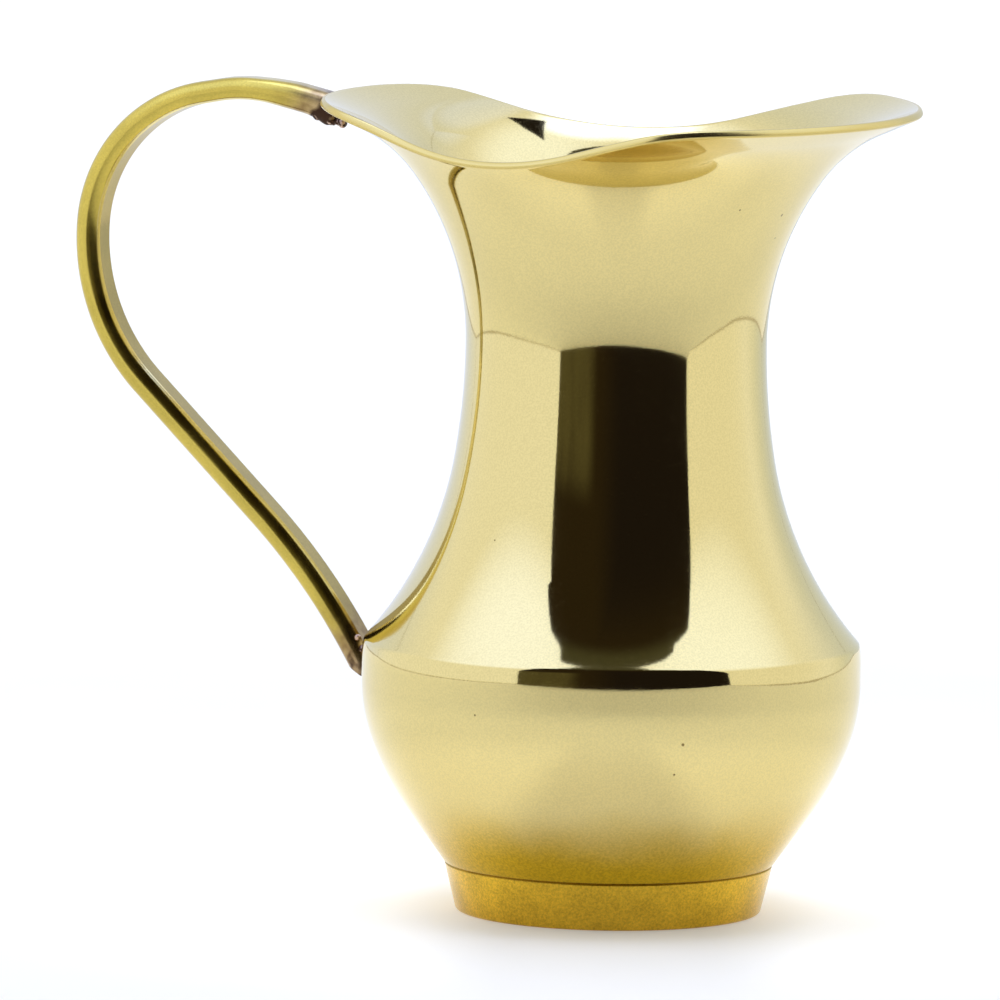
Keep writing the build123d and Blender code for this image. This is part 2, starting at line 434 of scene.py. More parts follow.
def make_neck():
    """Upper shell: skirt, shoulder, waist and a flared lip cut to its dip, with a rounded edge."""
    fixed = bisect_left([z for _, z, _ in neck_outer[1:]], waist_height)
    upper = len(neck_outer) - 1 - fixed
    spacing = hypot(*(p - q for p, q in zip(neck_outer[-1][:2], neck_outer[-2][:2])))
    edge = lip_edge_round / spacing
    columns = []
    for k in range(around):
        angle = 2 * pi * k / around
        end = lip_place(angle)
        r, z, heading = along(neck_outer, end)
        places = [float(i) for i in range(fixed)]
        places += [fixed + (end - edge - fixed) * i / upper for i in range(upper + 1)]
        column = [(skirt_radius, seam_height - skirt_depth), (skirt_radius, seam_height)]
        column += [along(neck_outer, place)[:2] for place in places]
        lean = radians(heading)
        for turn in range(1, 2 * edge_steps + 2):
            quarter = radians(90 * min(turn, edge_steps) / edge_steps)
            back = lip_edge_round * (1 - sin(quarter))
            depth = lip_edge_round * (1 - cos(quarter))
            if turn > edge_steps:
                quarter = radians(90 * (turn - edge_steps - 1) / edge_steps)
                back = lip_edge_round * (1 - cos(quarter))
                depth = wall - lip_edge_round * (1 - sin(quarter))
            column.append(
                (
                    r - back * sin(lean) - depth * cos(lean),
                    z - back * cos(lean) + depth * sin(lean),
                )
            )
        for place in places[::-1][1::inner_step]:
            r, z, heading = along(neck_outer, place)
            column.append((r - wall * cos(radians(heading)), z + wall * sin(radians(heading))))
        column.append((skirt_radius - wall, seam_height))
        column.append((skirt_radius - wall, seam_height - skirt_depth))
        columns.append([turned(r, z, angle) for r, z in column])
    rings = len(columns[0])
    points = [columns[k][i] for i in range(rings) for k in range(around)]
    faces = ring_faces(rings, around) + closing_faces(rings)
    made = new_piece("spun_neck", points, faces)
    edge_begin = len(places) + 1
    edge_end = edge_begin + 2 * edge_steps + 1
    for face in made.data.polygons:
        met = [i // around for i in face.vertices]
        face.material_index = int(edge_begin <= min(met) and max(met) <= edge_end)
    return made


def jug_radius(height):
    """Outer radius of the jug at a height."""
    line = bowl_outer + neck_outer[1:]
    heights = [z for _, z, _ in line]
    i = min(max(bisect_left(heights, height), 1), len(line) - 1)
    share = (height - heights[i - 1]) / (heights[i] - heights[i - 1])
    return line[i - 1][0] + (line[i][0] - line[i - 1][0]) * share


def fitted(corners, bends):
    """Bend radii at the inner corners of a line, reduced where the runs beside them are too short."""
    runs = [b - a for a, b in zip(corners, corners[1:])]
    reach = [bend * tan(a.angle(b) / 2) for bend, a, b in zip(bends, runs, runs[1:])]
    reach = [0.0] + reach + [0.0]
    room = [bend_share * r.length / (a + b) for r, a, b in zip(runs, reach, reach[1:])]
    return [bend * min(1.0, room[i], room[i + 1]) for i, bend in enumerate(bends)]


def handle_line():
    """Points and directions along the handle's flat face, from the bowl over to the lip."""
    seat = lip_height - handle_lap / tan(radians(lip_angle)) + handle_seat
    tip = Vector((handle_lap - lip_radius, seat - handle_thickness))
    foot = Vector((handle_foot_bury - bowl_radius, belly_height - handle_foot_drop))
    foot_lean = radians(handle_foot_angle)
    tip_lean = radians(handle_tip_angle)
    corners = [
        foot,
        foot + handle_foot_run * Vector((-sin(foot_lean), cos(foot_lean))),
        Vector((-handle_side_reach, waist_height)),
        Vector((-handle_back_reach, tip.y - handle_back_drop)),
        tip + handle_tip_run * Vector((-cos(tip_lean), sin(tip_lean))),
        tip,
    ]
    return rounded(corners, fitted(corners, handle_bends), step)


# Steps across the flat side of the handle and round each of its edges, and how many of the latter, next
# to the flat, carry a painted highlight
flat_count = 12
edge_count = 28
highlight_steps = 3


def bar_section(thickness):
    """Section of the handle as (across, out) points: its flat side, then its two round edges."""
    begin = radians(handle_edge_turn)
    radius = thickness / (1 + cos(begin))
    middle = handle_worn_width / 2 - radius
    flat = middle + radius * sin(begin)
    outline = [(-flat + 2 * flat * i / flat_count, 0.0) for i in range(flat_count)]
    edge = []
    for i in range(edge_count + 1):
        turn = begin + (pi - begin) * i / edge_count
        edge.append((middle + radius * sin(turn), radius * (cos(begin) - cos(turn))))
    return outline + edge + [(-across, out) for across, out in edge[:0:-1]]


def share_between(value, begin, end):
    """Smooth share of the way from begin to end, between 0 and 1."""
    share = min(max((value - begin) / (end - begin), 0.0), 1.0)
    return share * share * (3 - 2 * share)


def forged(line):
    """Thickness of the handle along its line, share of what hangs under it, and its narrowing."""
    lengths = [0.0]
    for (a, _), (b, _) in zip(line, line[1:]):
        lengths.append(lengths[-1] + (b - a).length)
    back = lengths[min(range(len(line)), key=lambda i: line[i][0].x)]
    top = lengths[max(range(len(line)), key=lambda i: line[i][0].y)]
    made = []
    for length in lengths:
        left = lengths[-1] - length
        thickness = handle_thick + (handle_thin - handle_thick) * share_between(length, back, top)
        thickness += tip_swell * share_between(left, tip_swell_begin, tip_swell_end)
        drip = share_between(left, tip_drip_begin, tip_drip_end)
        narrow = 1 - (1 - tip_narrow) * share_between(left, tip_trim + tip_round, tip_trim)
        if left >= tip_trim:
            made.append((thickness, drip, narrow))
    return made


cut_normal = Vector((sin(radians(handle_cut_angle)), 0, cos(radians(handle_cut_angle))))
cut_height = belly_height - handle_cut_drop


def above_cut(point):
    """Height of a point over the slanting cut at the handle's lower end."""
    return (point - Vector((-bowl_radius, 0, cut_height))).dot(cut_normal)


def make_handle():
    """Bar with one flat side swept along its line, each end cut to the jug's outside."""
    line = handle_line()
    rings = []
    for (spot, way), (thickness, drip, narrow) in zip(line, forged(line)):
        ring = []
        for across, out in bar_section(thickness):
            lump = noise.noise(Vector((spot.x, across, spot.y)) / tip_grain_wave)
            low = max(0.0, 1 - out / (tip_drip_share * thickness))
            out -= drip * low * (tip_drip + tip_grain * lump)
            out = thickness + (out - thickness) * narrow
            x = spot.x + handle_shift - way.y * out
            ring.append(Vector((x, across * narrow, spot.y + way.x * out)))
        rings.append(ring)

    def clear(point):
        return above_cut(point) > 0 and hypot(point.x, point.y) > jug_radius(point.z) + handle_gap

    last = len(rings) - 1
    columns = []
    for column in zip(*rings):

        def at(place):
            i = min(int(place), last - 1)
            return column[i].lerp(column[i + 1], place - i)

        start, end = 0.0, float(last)
        while not clear(at(start)):
            start += trim_step
        while not clear(at(end)):
            end -= trim_step
        columns.append([at(start + (end - start) * i / last) for i in range(last + 1)])
    count = len(columns)
    points = [tuple(column[i] * MM) for i in range(last + 1) for column in columns]
    faces = ring_faces(last + 1, count)
    foot_middle = sum((column[0] for column in columns), Vector()) / count
    tip_middle = sum((column[last] for column in columns), Vector()) / count
    for ring, middle in ((0, foot_middle), (last, tip_middle)):
        centre = len(points)
        points.append(tuple(middle * MM))
        for k in range(count):
            faces.append((centre, ring * count + k, ring * count + (k + 1) % count))
    made = new_piece("bent_handle", points, faces, sharp_angle=bar_sharp)
    # Faces round each edge next to the flat take the paler brass of a painted highlight
    highlighted = [k <= flat_count + highlight_steps or k >= count - highlight_steps for k in range(count)]
    for face in made.data.polygons:
        across = [i % count for i in face.vertices]
        if len(across) == 4 and all(highlighted[k] for k in across):
            face.material_index = 1 if max(across) <= flat_count else 2
    return made


# Brazed beads: fineness, swelling and rounding of each, and where the one at the lip is drawn in
bead_voxel = 0.13
lip_bead_swell = 0.2
lip_bead_rounding = 4
lip_bead_end = 43.4
lip_bead_pull = 0.4
bowl_bead_swell = 0.05
bowl_bead_rounding = 2

# Lumps of the beads: their height, wave length and finer share
lump_height = 0.25
lump_wave = 0.8
lump_detail = 0.5

# Row of drops under the handle's tip: place and radius of the first, and how these change along it
drop_count = 7
drop_first = (-43.8, -1.9, lip_height - 3.95)
drop_step = 0.7
drop_stagger = 0.15
drop_slope = 0.145
drop_radius = 0.62
drop_shrink = 0.025
lip_drops = [
    (
        drop_first[0] - drop_step * i,
        drop_first[1] + drop_stagger * (i % 3),
        drop_first[2] + drop_slope * i,
        drop_radius - drop_shrink * i,
    )
    for i in range(drop_count)
]

# Drops in the crotch of the handle, as centre and radius, and fineness of all the drops
bowl_drops = (
    (-39.9, -2.5, belly_height + 4.1, 0.42),
    (-39.2, -2.4, belly_height + 2.4, 0.5),
    (-38.6, -2.4, belly_height + 0.6, 0.6),
)
drop_fineness = 3


def make_bead(name, node, swell, rounding, drops):
    """Lumpy bead of brazing metal, from the even fillet of its solid, ending with the handle's cut."""
    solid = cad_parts[node].data.copy()
    solid.transform(Matrix.Scale(1 / MM, 4))
    form = bmesh.new()
    form.from_mesh(solid)
    for x, y, z, radius in drops:
        place = Matrix.Translation((x, y, z))
        bmesh.ops.create_icosphere(form, subdivisions=drop_fineness, radius=radius, matrix=place)
    form.to_mesh(solid)
    form.free()
    block = bpy.data.objects.new(name + "_solid", solid)
    bpy.context.scene.collection.objects.link(block)
    even = block.modifiers.new("even", "REMESH")
    even.mode = "VOXEL"
    even.voxel_size = bead_voxel
    soft = block.modifiers.new("soft", "SMOOTH")
    soft.iterations = rounding
    shaped = block.evaluated_get(bpy.context.evaluated_depsgraph_get()).to_mesh()
    points = []
    for vertex in shaped.vertices:
        lump = noise.noise(vertex.co / lump_wave)
        lump += lump_detail * noise.noise(2 * vertex.co / lump_wave)
        point = vertex.co + (swell + lump_height * lump) * vertex.normal
        point -= min(above_cut(point), 0.0) * cut_normal
        if point.z > waist_height:
            point.x -= (1 - lip_bead_pull) * max(point.x + lip_bead_end, 0.0)
        points.append(tuple(point * MM))
    faces = [tuple(face.vertices) for face in shaped.polygons]
    bpy.data.objects.remove(block)
    return new_piece(name, points, faces, sharp_angle=braze_sharp)


# Finishes: the range that most noise lies in
noise_low = 0.3
noise_middle = 0.5
noise_high = 0.7


def material(name):
    """New node material with its node tree and shader."""
    made = bpy.data.materials.new(name)
    made.use_nodes = True
    return made, made.node_tree, made.node_tree.nodes["Principled BSDF"]


def add(tree, kind, inputs=None, **settings):
    """Adds a node with its settings, and sets or links its inputs by name or number."""
    made = tree.nodes.new("ShaderNode" + kind)
    for name, value in settings.items():
        setattr(made, name, value)
    for name, value in (inputs or {}).items():
        if isinstance(value, bpy.types.NodeSocket):
            tree.links.new(value, made.inputs[name])
        else:
            made.inputs[name].default_value = value
    return made


def cloud(tree, place, size, detail=2.0):
    """Noise between 0 and 1 with features of a size in millimetres."""
    inputs = {"Vector": place, "Scale": 1 / (size * MM), "Detail": detail}
    return add(tree, "TexNoise", inputs).outputs["Fac"]


def fade(tree, value, begin, end, low=0.0, high=1.0):
    """Smooth change of a value from low at begin to high at end."""
    inputs = {"Value": value, "From Min": begin, "From Max": end, "To Min": low, "To Max": high}
    return add(tree, "MapRange", inputs, interpolation_type="SMOOTHSTEP").outputs["Result"]


def ranged(tree, value, low, high):
    """Noise spread over a range of levels."""
    return fade(tree, value, noise_low, noise_high, low, high)


def calc(tree, operation, a, b):
    """Joint value of two numbers."""
    return add(tree, "Math", {0: a, 1: b}, operation=operation).outputs[0]


def total(tree, a, b):
    """Sum of two numbers."""
    return calc(tree, "ADD", a, b)


def product(tree, a, b):
    """Product of two numbers."""
    return calc(tree, "MULTIPLY", a, b)


def greater(tree, a, b):
    """Greater of two numbers."""
    return calc(tree, "MAXIMUM", a, b)


def blend(tree, share, first, second, kind="MIX"):
    """Colour between two colours, or their product and the like."""
    inputs = {0: share, 6: first, 7: second}
    return add(tree, "Mix", inputs, data_type="RGBA", blend_type=kind).outputs[2]


def shaded(tree, colour, level):
    """Colour made darker or lighter by a level."""
    grey = add(tree, "CombineColor", {0: level, 1: level, 2: level}).outputs[0]
    return blend(tree, 1.0, colour, grey, "MULTIPLY")


def near(tree, place, centre, begin, end):
    """One at a place in millimetres, fading to nothing between two distances."""
    inputs = {0: place, 1: tuple(c * MM for c in centre)}
    distance = add(tree, "VectorMath", inputs, operation="DISTANCE").outputs["Value"]
    return fade(tree, distance, end * MM, begin * MM)


def strokes(tree, place, turn, long, fine):
    """Thin polishing strokes along one direction, as a mask."""
    rotation = {"Vector": place, "Rotation": turn}
    turned_place = add(tree, "VectorRotate", rotation, rotation_type="EULER_XYZ").outputs[0]
    scale = (1 / (fine * MM), 1 / (long * MM), 1 / (fine * MM))
    stretched = add(tree, "Mapping", {"Vector": turned_place, "Scale": scale}).outputs[0]
    lines = add(tree, "TexNoise", {"Vector": stretched, "Scale": 1.0, "Detail": 1.0}).outputs["Fac"]
    return fade(tree, lines, stroke_begin, stroke_end)


def bumped(tree, shader, height, strength, distance):
    """Gives a shader a bump of a height, in millimetres at full strength."""
    bump = add(tree, "Bump", {"Height": height, "Strength": strength, "Distance": distance * MM})
    tree.links.new(bump.outputs[0], shader.inputs["Normal"])


def metal(tree, shader, colour, rough):
    """Makes a shader metal, with its colour and roughness from nodes."""
    tree.links.new(colour, shader.inputs["Base Color"])
    tree.links.new(rough, shader.inputs["Roughness"])
    shader.inputs["Metallic"].default_value = 1.0


# Colours of the metal
clear_brass = (0.74, 0.615, 0.265, 1.0)
# Deeper brass: the painted shade low on the bowl, and also the tint of the polishing strokes
shade_and_stroke_brass = (0.60, 0.40, 0.02, 1.0)
foot_gold = (0.68, 0.44, 0.04, 1.0)
bar_brass = (0.61, 0.47, 0.09, 1.0)
flat_brass = (0.44, 0.335, 0.10, 1.0)
# Paler brass on the arrises beside the handle's flat: a painted highlight line
arris_highlight_brass = (0.78, 0.69, 0.36, 1.0)
edge_brass = (0.66, 0.52, 0.175, 1.0)
seam_brown = (0.10, 0.06, 0.012, 1.0)
burnt_brown = (0.055, 0.028, 0.016, 1.0)
smoke_brown = (0.20, 0.115, 0.045, 1.0)
heat_pink = (0.66, 0.47, 0.36, 1.0)

# Grain of more than one finish: sizes of its specks and mottling, and height of the bump they make
fine_speck = 0.25
mottle_size = 0.4
bump_height = 0.02

# Foot seam: how dark and rough it is, and where it fades, above and below the joint
seam_tint = 0.3
seam_rough = 0.3
seam_above = (0.28, 0.08)
seam_below = (0.3, 0.12)

# Polished sheet: sizes of its clouding and specks, and ranges of its grain, mottling and roughness
sheet_cloud = 14.0
sheet_speck = 0.28
sheet_grain = (0.95, 1.04)
sheet_mottle = (-0.16, 0.07)
sheet_rough = (0.035, 0.065)
sheet_bump = 0.06

# Deeper colour low on the bowl, painted shade standing in for the darker reflection of the shadowed
# floor: the heights between which it comes in, and how far these waver
deep_begin = 23.0
deep_end = 12.0
deep_waver = 6.0
deep_rough = 0.12

# Polishing strokes, each kind with its turn, length and width, and the noise levels that show
stroke_kinds = (
    ((0.3, 0.5, 0.9), 7.0, 0.12),
    ((1.2, -0.4, -0.6), 9.0, 0.10),
)
stroke_begin = 0.70
stroke_end = 0.80
stroke_tint = 0.12
stroke_rough = 0.12

# Small pits in the sheet, as angle about the axis, height and radius
pits = (
    (-29.5, 107.3, 0.2),
    (-7.7, 105.8, 0.3),
    (-4.8, 102.2, 0.18),
    (-51.2, 29.6, 0.3),
    (-52.6, 25.0, 0.22),
    (-100.6, 33.0, 0.2),
    (-109.2, 57.6, 0.18),
)
pit_core = 0.6
pit_tint = 0.75


def polished_brass():
    """Mirror-polished sheet: faint clouding, hairlines, a few pits, and painted shade as a deeper
    colour at the foot.
    """
    made, tree, shader = material("polished_brass")
    place = add(tree, "TexCoord").outputs["Object"]
    height = add(tree, "SeparateXYZ", {"Vector": place}).outputs["Z"]
    broad = cloud(tree, place, sheet_cloud)
    speck = cloud(tree, place, sheet_speck, 1.0)
    # The deeper colour low on the bowl is painted shade, for the reflection of the shadowed floor
    wavering = total(tree, height, product(tree, broad, deep_waver * MM))
    painted_low_shade = fade(tree, wavering, deep_begin * MM, deep_end * MM)
    hairs = greater(tree, *(strokes(tree, place, *kind) for kind in stroke_kinds))
    pitted = 0.0
    for angle, level, radius in pits:
        out = jug_radius(level)
        centre = (out * cos(radians(angle)), out * sin(radians(angle)), level)
        pitted = greater(tree, near(tree, place, centre, pit_core * radius, radius), pitted)
    mottled = ranged(tree, cloud(tree, place, mottle_size), *sheet_mottle)
    grain = total(tree, ranged(tree, speck, *sheet_grain), product(tree, mottled, painted_low_shade))
    colour = shaded(tree, blend(tree, painted_low_shade, clear_brass, shade_and_stroke_brass), grain)
    colour = blend(tree, product(tree, hairs, stroke_tint), colour, shade_and_stroke_brass)
    seam = fade(tree, height, *((foot_height + rise) * MM for rise in seam_above))
    dark = greater(tree, product(tree, pitted, pit_tint), product(tree, seam, seam_tint))
    colour = blend(tree, dark, colour, seam_brown)
    rough = total(tree, ranged(tree, broad, *sheet_rough), product(tree, painted_low_shade, deep_rough))
    rough = total(tree, rough, product(tree, hairs, stroke_rough))
    rough = total(tree, rough, product(tree, dark, seam_rough))
    metal(tree, shader, colour, rough)
    bumped(tree, shader, calc(tree, "SUBTRACT", speck, pitted), sheet_bump, bump_height)
    return made


# Foot ring: size of its clouding, its turning lines to the metre, and ranges of grain and roughness
foot_cloud = 5.0
foot_lines = 6000.0
foot_grain = (0.86, 1.02)
foot_patches = (-0.07, 0.10)
foot_mottle = (-0.14, 0.10)
foot_rough = (0.16, 0.26)
foot_bump = 0.12


def turned_brass():
    """Satin foot ring: fine turning lines, grain and a dark seam under the bowl."""
    made, tree, shader = material("turned_brass")
    place = add(tree, "TexCoord").outputs["Object"]
    height = add(tree, "SeparateXYZ", {"Vector": place}).outputs["Z"]
    broad = cloud(tree, place, foot_cloud)
    speck = cloud(tree, place, fine_speck, 1.0)
    level = product(tree, height, foot_lines)
    lines = add(tree, "TexNoise", {"W": level}, noise_dimensions="1D").outputs["Fac"]
    mottled = ranged(tree, cloud(tree, place, mottle_size), *foot_mottle)
    grain = total(tree, ranged(tree, speck, *foot_grain), ranged(tree, broad, *foot_patches))
    colour = shaded(tree, foot_gold, total(tree, grain, mottled))
    seam = fade(tree, height, *((foot_height - drop) * MM for drop in seam_below))
    colour = blend(tree, product(tree, seam, seam_tint), colour, seam_brown)
    rough = total(tree, ranged(tree, speck, *foot_rough), product(tree, seam, seam_rough))
    metal(tree, shader, colour, rough)
    bumped(tree, shader, total(tree, speck, lines), foot_bump, bump_height)
    return made


edge_rough = 0.24


def satin_edge():
    """Filed edge of the lip, deeper in colour than the polished sheet."""
    made, _, shader = material("satin_edge")
    shader.inputs["Base Color"].default_value = edge_brass
    shader.inputs["Roughness"].default_value = edge_rough
    shader.inputs["Metallic"].default_value = 1.0
    return made


# Handle bar: size of its clouding, and ranges of its grain and roughness
bar_cloud = 6.0
bar_grain = (0.90, 1.03)
bar_patches = (-0.05, 0.06)
bar_rough = (0.15, 0.22)
bar_bump = 0.15

# Places that the heat stains of the bar spread from, at its tip and its foot; the one at the tip sits
# low, under the lip, so the burnt darkening there is partly painted shade
stain_back = 1.0
stain_drop = 1.6
stain_tip = (handle_lap - lip_radius - stain_back, 0.0, lip_height - handle_thickness - stain_drop)
stain_foot = (-bowl_radius, 0.0, cut_height)

# Heat stains: size of their blotches, and how far the full and the last of each reach from tip and foot
stain_size = 2.2
pink_reach = ((4.0, 11.0), (4.0, 12.0))
pink_tint = 0.6
smoke_reach = ((6.0, 14.0), (7.0, 17.0))
smoke_tint = (0.35, 0.85)
burnt_reach = ((4.6, 7.6), (2.5, 9.0))
burnt_begin = 0.35
burnt_end = 0.8
burnt_rough = 0.2
raggedness = 1.6


def bar_finish(name, base):
    """Satin bar of one base colour, with grain, and heat stains towards its two brazed ends, the burnt
    dark at the tip partly painted shade under the lip.
    """
    made, tree, shader = material(name)
    place = add(tree, "TexCoord").outputs["Object"]
    broad = cloud(tree, place, bar_cloud)
    speck = cloud(tree, place, fine_speck, 1.0)
    blotch = cloud(tree, place, stain_size)

    def stain(from_tip, from_foot):
        at_tip = near(tree, place, stain_tip, *from_tip)
        return greater(tree, at_tip, near(tree, place, stain_foot, *from_foot))

    ragged = product(tree, calc(tree, "SUBTRACT", blotch, noise_middle), raggedness)
    # Burnt dark near both ends; low at the tip, under the lip, it is partly painted shade
    burnt_and_shade = fade(tree, total(tree, stain(*burnt_reach), ragged), burnt_begin, burnt_end)
    smoked = product(tree, stain(*smoke_reach), ranged(tree, blotch, *smoke_tint))
    grain = total(tree, ranged(tree, speck, *bar_grain), ranged(tree, broad, *bar_patches))
    colour = shaded(tree, base, grain)
    colour = blend(tree, product(tree, stain(*pink_reach), pink_tint), colour, heat_pink)
    colour = blend(tree, smoked, colour, smoke_brown)
    colour = blend(tree, burnt_and_shade, colour, burnt_brown)
    rough = total(tree, ranged(tree, broad, *bar_rough), product(tree, burnt_and_shade, burnt_rough))
    metal(tree, shader, colour, rough)
    bumped(tree, shader, total(tree, speck, broad), bar_bump, bump_height)
    return made


# Brazing metal: its flecks and specks, the reach of a pink drop in the crotch, its roughness and bump
fleck_size = 0.9
fleck_begin = 0.52
fleck_end = 0.66
braze_speck = 0.2
pink_drop_reach = (0.6, 1.1)
braze_rough = (0.30, 0.55)
braze_bump = 0.5
braze_bump_height = 0.05


def brazing():
    """Dull brazing metal, burnt dark with pinkish flecks."""
    made, tree, shader = material("brazing_metal")
    place = add(tree, "TexCoord").outputs["Object"]
    blotch = cloud(tree, place, fleck_size, 3.0)
    speck = cloud(tree, place, braze_speck, 1.0)
    pink_drop = near(tree, place, bowl_drops[0][:3], *pink_drop_reach)
    fleck = greater(tree, fade(tree, blotch, fleck_begin, fleck_end), pink_drop)
    colour = blend(tree, fleck, burnt_brown, heat_pink)
    metal(tree, shader, colour, ranged(tree, speck, *braze_rough))
    bumped(tree, shader, speck, braze_bump, braze_bump_height)
    return made


# Floor: its colour and mottling, and the soft light it gives near the jug and more at the foot's sides
white = (1.0, 1.0, 1.0, 1.0)
floor_white = (0.90, 0.835, 0.62, 1.0)
floor_cloud = 60.0
floor_mottle = (0.98, 1.0)
floor_rough = 0.9
floor_middle = (0.0, 0.0, 0.0)
lift_reach = (40.0, 300.0)
lift_range = (0.05, 0.20)
side_begin = 14.0
side_end = 34.0
side_lift = 0.22
side_reach = (45.0, 110.0)


def pale_floor():
    """Plain matt floor with the faintest mottling, glowing with painted light near the jug and more at
    the foot's sides.
    """
    made, tree, shader = material("pale_floor")
    place = add(tree, "TexCoord").outputs["Object"]
    level = ranged(tree, cloud(tree, place, floor_cloud), *floor_mottle)
    tree.links.new(shaded(tree, floor_white, level), shader.inputs["Base Color"])
    shader.inputs["Roughness"].default_value = floor_rough
    shader.inputs["Emission Color"].default_value = white
    lift = fade(tree, near(tree, place, floor_middle, *lift_reach), 0.0, 1.0, *lift_range)
    aside = add(tree, "VectorMath", {0: place, 1: tuple(right)}, operation="DOT_PRODUCT")
    distance = calc(tree, "ABSOLUTE", aside.outputs["Value"], 0.0)
    beside = fade(tree, distance, side_begin * MM, side_end * MM, 0.0, side_lift)
    beside = product(tree, beside, near(tree, place, floor_middle, *side_reach))
    tree.links.new(total(tree, lift, beside), shader.inputs["Emission Strength"])
    return made


def glow(name, colour, strength=1.0):
    """Glowing material for what stands round the jug, of one colour or of a colour from nodes."""
    made = bpy.data.materials.new(name)
    made.use_nodes = True
    tree = made.node_tree
    tree.nodes.clear()
    shown = colour(tree) if callable(colour) else (*colour, 1.0)
    emission = add(tree, "Emission", {"Color": shown, "Strength": strength})
    add(tree, "OutputMaterial", {"Surface": emission.outputs[0]})
    return made


sheet_finish = polished_brass()
neck = make_neck()
brazing_finish = brazing()
handle = make_handle()
lip_bead = make_bead(
    "bead_at_lip", "upper_handle_braze", lip_bead_swell, lip_bead_rounding, lip_drops
)
bowl_bead = make_bead(
    "bead_at_bowl", "lower_handle_braze", bowl_bead_swell, bowl_bead_rounding, bowl_drops
)
for piece, node, finish, slot in (
    (make_bowl(), "bowl", sheet_finish, "polished_brass"),
    (neck, "neck", sheet_finish, "polished_brass"),
    (make_foot_ring(), "foot_ring", turned_brass(), "foot_brass"),
    (handle, "handle", bar_finish("bar_round", bar_brass), "handle_brass"),
    (lip_bead, "upper_handle_braze", brazing_finish, "braze"),
    (bowl_bead, "lower_handle_braze", brazing_finish, "braze"),
):
    piece.data.materials.append(finish)
    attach(piece, "root")
    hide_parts(node)
handle.data.materials.append(bar_finish("bar_flat", flat_brass))
# The bar's arrises beside the flat get a paler finish: a painted highlight line
handle.data.materials.append(bar_finish("bar_edge_highlight", arris_highlight_brass))
neck.data.materials.append(satin_edge())
for node in ("foot_braze", "shoulder_braze"):
    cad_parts[node].data.materials.clear()
    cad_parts[node].data.materials.append(brazing_finish)

# Camera, from the angle and distance of the photograph, in metres
view_azimuth = radians(21.88)
view_elevation = radians(6.70)
view_roll = radians(0.879)
view_distance = 2.311
view_width = 0.1488
sensor = 36.0
look_height = 0.05952
aim_right = -0.11369 * view_width
aim_up = 0.01334 * view_width

right = Vector((cos(view_azimuth), sin(view_azimuth), 0))
front = Vector((sin(view_azimuth), -cos(view_azimuth), 0))
upright = Vector((0, 0, 1))
back = front * cos(view_elevation) + upright * sin(view_elevation)
up = back.cross(right)
image_right = cos(view_roll) * right + sin(view_roll) * up
image_up = cos(view_roll) * up - sin(view_roll) * right
middle = Vector((0, 0, look_height))
target = middle + aim_right * image_right + aim_up * image_up

lens = bpy.data.cameras.new("camera")
lens.sensor_width = sensor
lens.lens = sensor * view_distance / view_width
lens.clip_start = 0.01
lens.clip_end = 50.0
camera = bpy.data.objects.new("camera", lens)
bpy.context.scene.collection.objects.link(camera)
camera.location = middle + view_distance * back
away = (camera.location - target).normalized()
across = image_up.cross(away).normalized()
camera.rotation_mode = "QUATERNION"
camera.rotation_quaternion = Matrix((across, away.cross(across), away)).transposed().to_quaternion()
bpy.context.scene.camera = camera


# Surroundings, in metres to the right of the jug, in front of it and up
def spot(to_right, to_front, height):
    """Point of the surroundings."""
    return right * to_right + front * to_front + upright * height


def aimed(azimuth, elevation, distance):
    """Point in a direction from the mouth of the jug, in degrees to the right of the front and up."""
    level = distance * cos(radians(elevation))
    rise = distance * sin(radians(elevation))
    return spot(level * sin(radians(azimuth)), level * cos(radians(azimuth)), lip_height * MM + rise)


def sheet(name, corners, finish, unseen=()):
    """Flat stage piece, left out for the kinds of ray named."""
    mesh = bpy.data.meshes.new(name)
    mesh.from_pydata([tuple(corner) for corner in corners], [], [tuple(range(len(corners)))])
    mesh.materials.append(finish)
    piece = bpy.data.objects.new(name, mesh)
    bpy.context.scene.collection.objects.link(piece)
    for way in unseen:
        setattr(piece, "visible_" + way, False)


only_in_brass = ("camera", "diffuse", "shadow", "transmission")
floor_reach = 8.0
sheet(
    "floor",
    [spot(x * floor_reach, y * floor_reach, 0) for x, y in ((-1, 1), (1, 1), (1, -1), (-1, -1))],
    pale_floor(),
)

# Dark card across the open front of the white tent: its colours, and where they change
card_dark = (0.014, 0.0105, 0.010, 1.0)
card_brown = (0.027, 0.019, 0.010, 1.0)
card_streak = (0.100, 0.090, 0.046, 1.0)
card_olive = (0.065, 0.064, 0.039, 1.0)
brown_across = (0.45, 0.30)
brown_up = (0.2, 0.7)
olive_up = (0.60, 0.80)
streak_across = (0.32, 0.25)
streak_up = (0.16, 0.07)
haze_scale = 9.0
haze_begin = 0.2
haze_end = 0.6
haze_least = 0.6

# Distance of the dark card to the front, and its outline to the right and up
tent_front = 0.46
opening = (
    (-0.42, 0.0),
    (0.66, 0.0),
    (0.63, 0.22),
    (0.63, 0.80),
    (0.67, 1.17),
    (0.53, 1.28),
    (0.55, 1.45),
    (0.48, 1.58),
    (0.10, 1.66),
    (-0.46, 1.66),
    (-0.46, 1.60),
    (-0.41, 1.30),
    (-0.41, 1.20),
    (-0.46, 1.04),
    (-0.455, 0.60),
    (-0.42, 0.20),
)


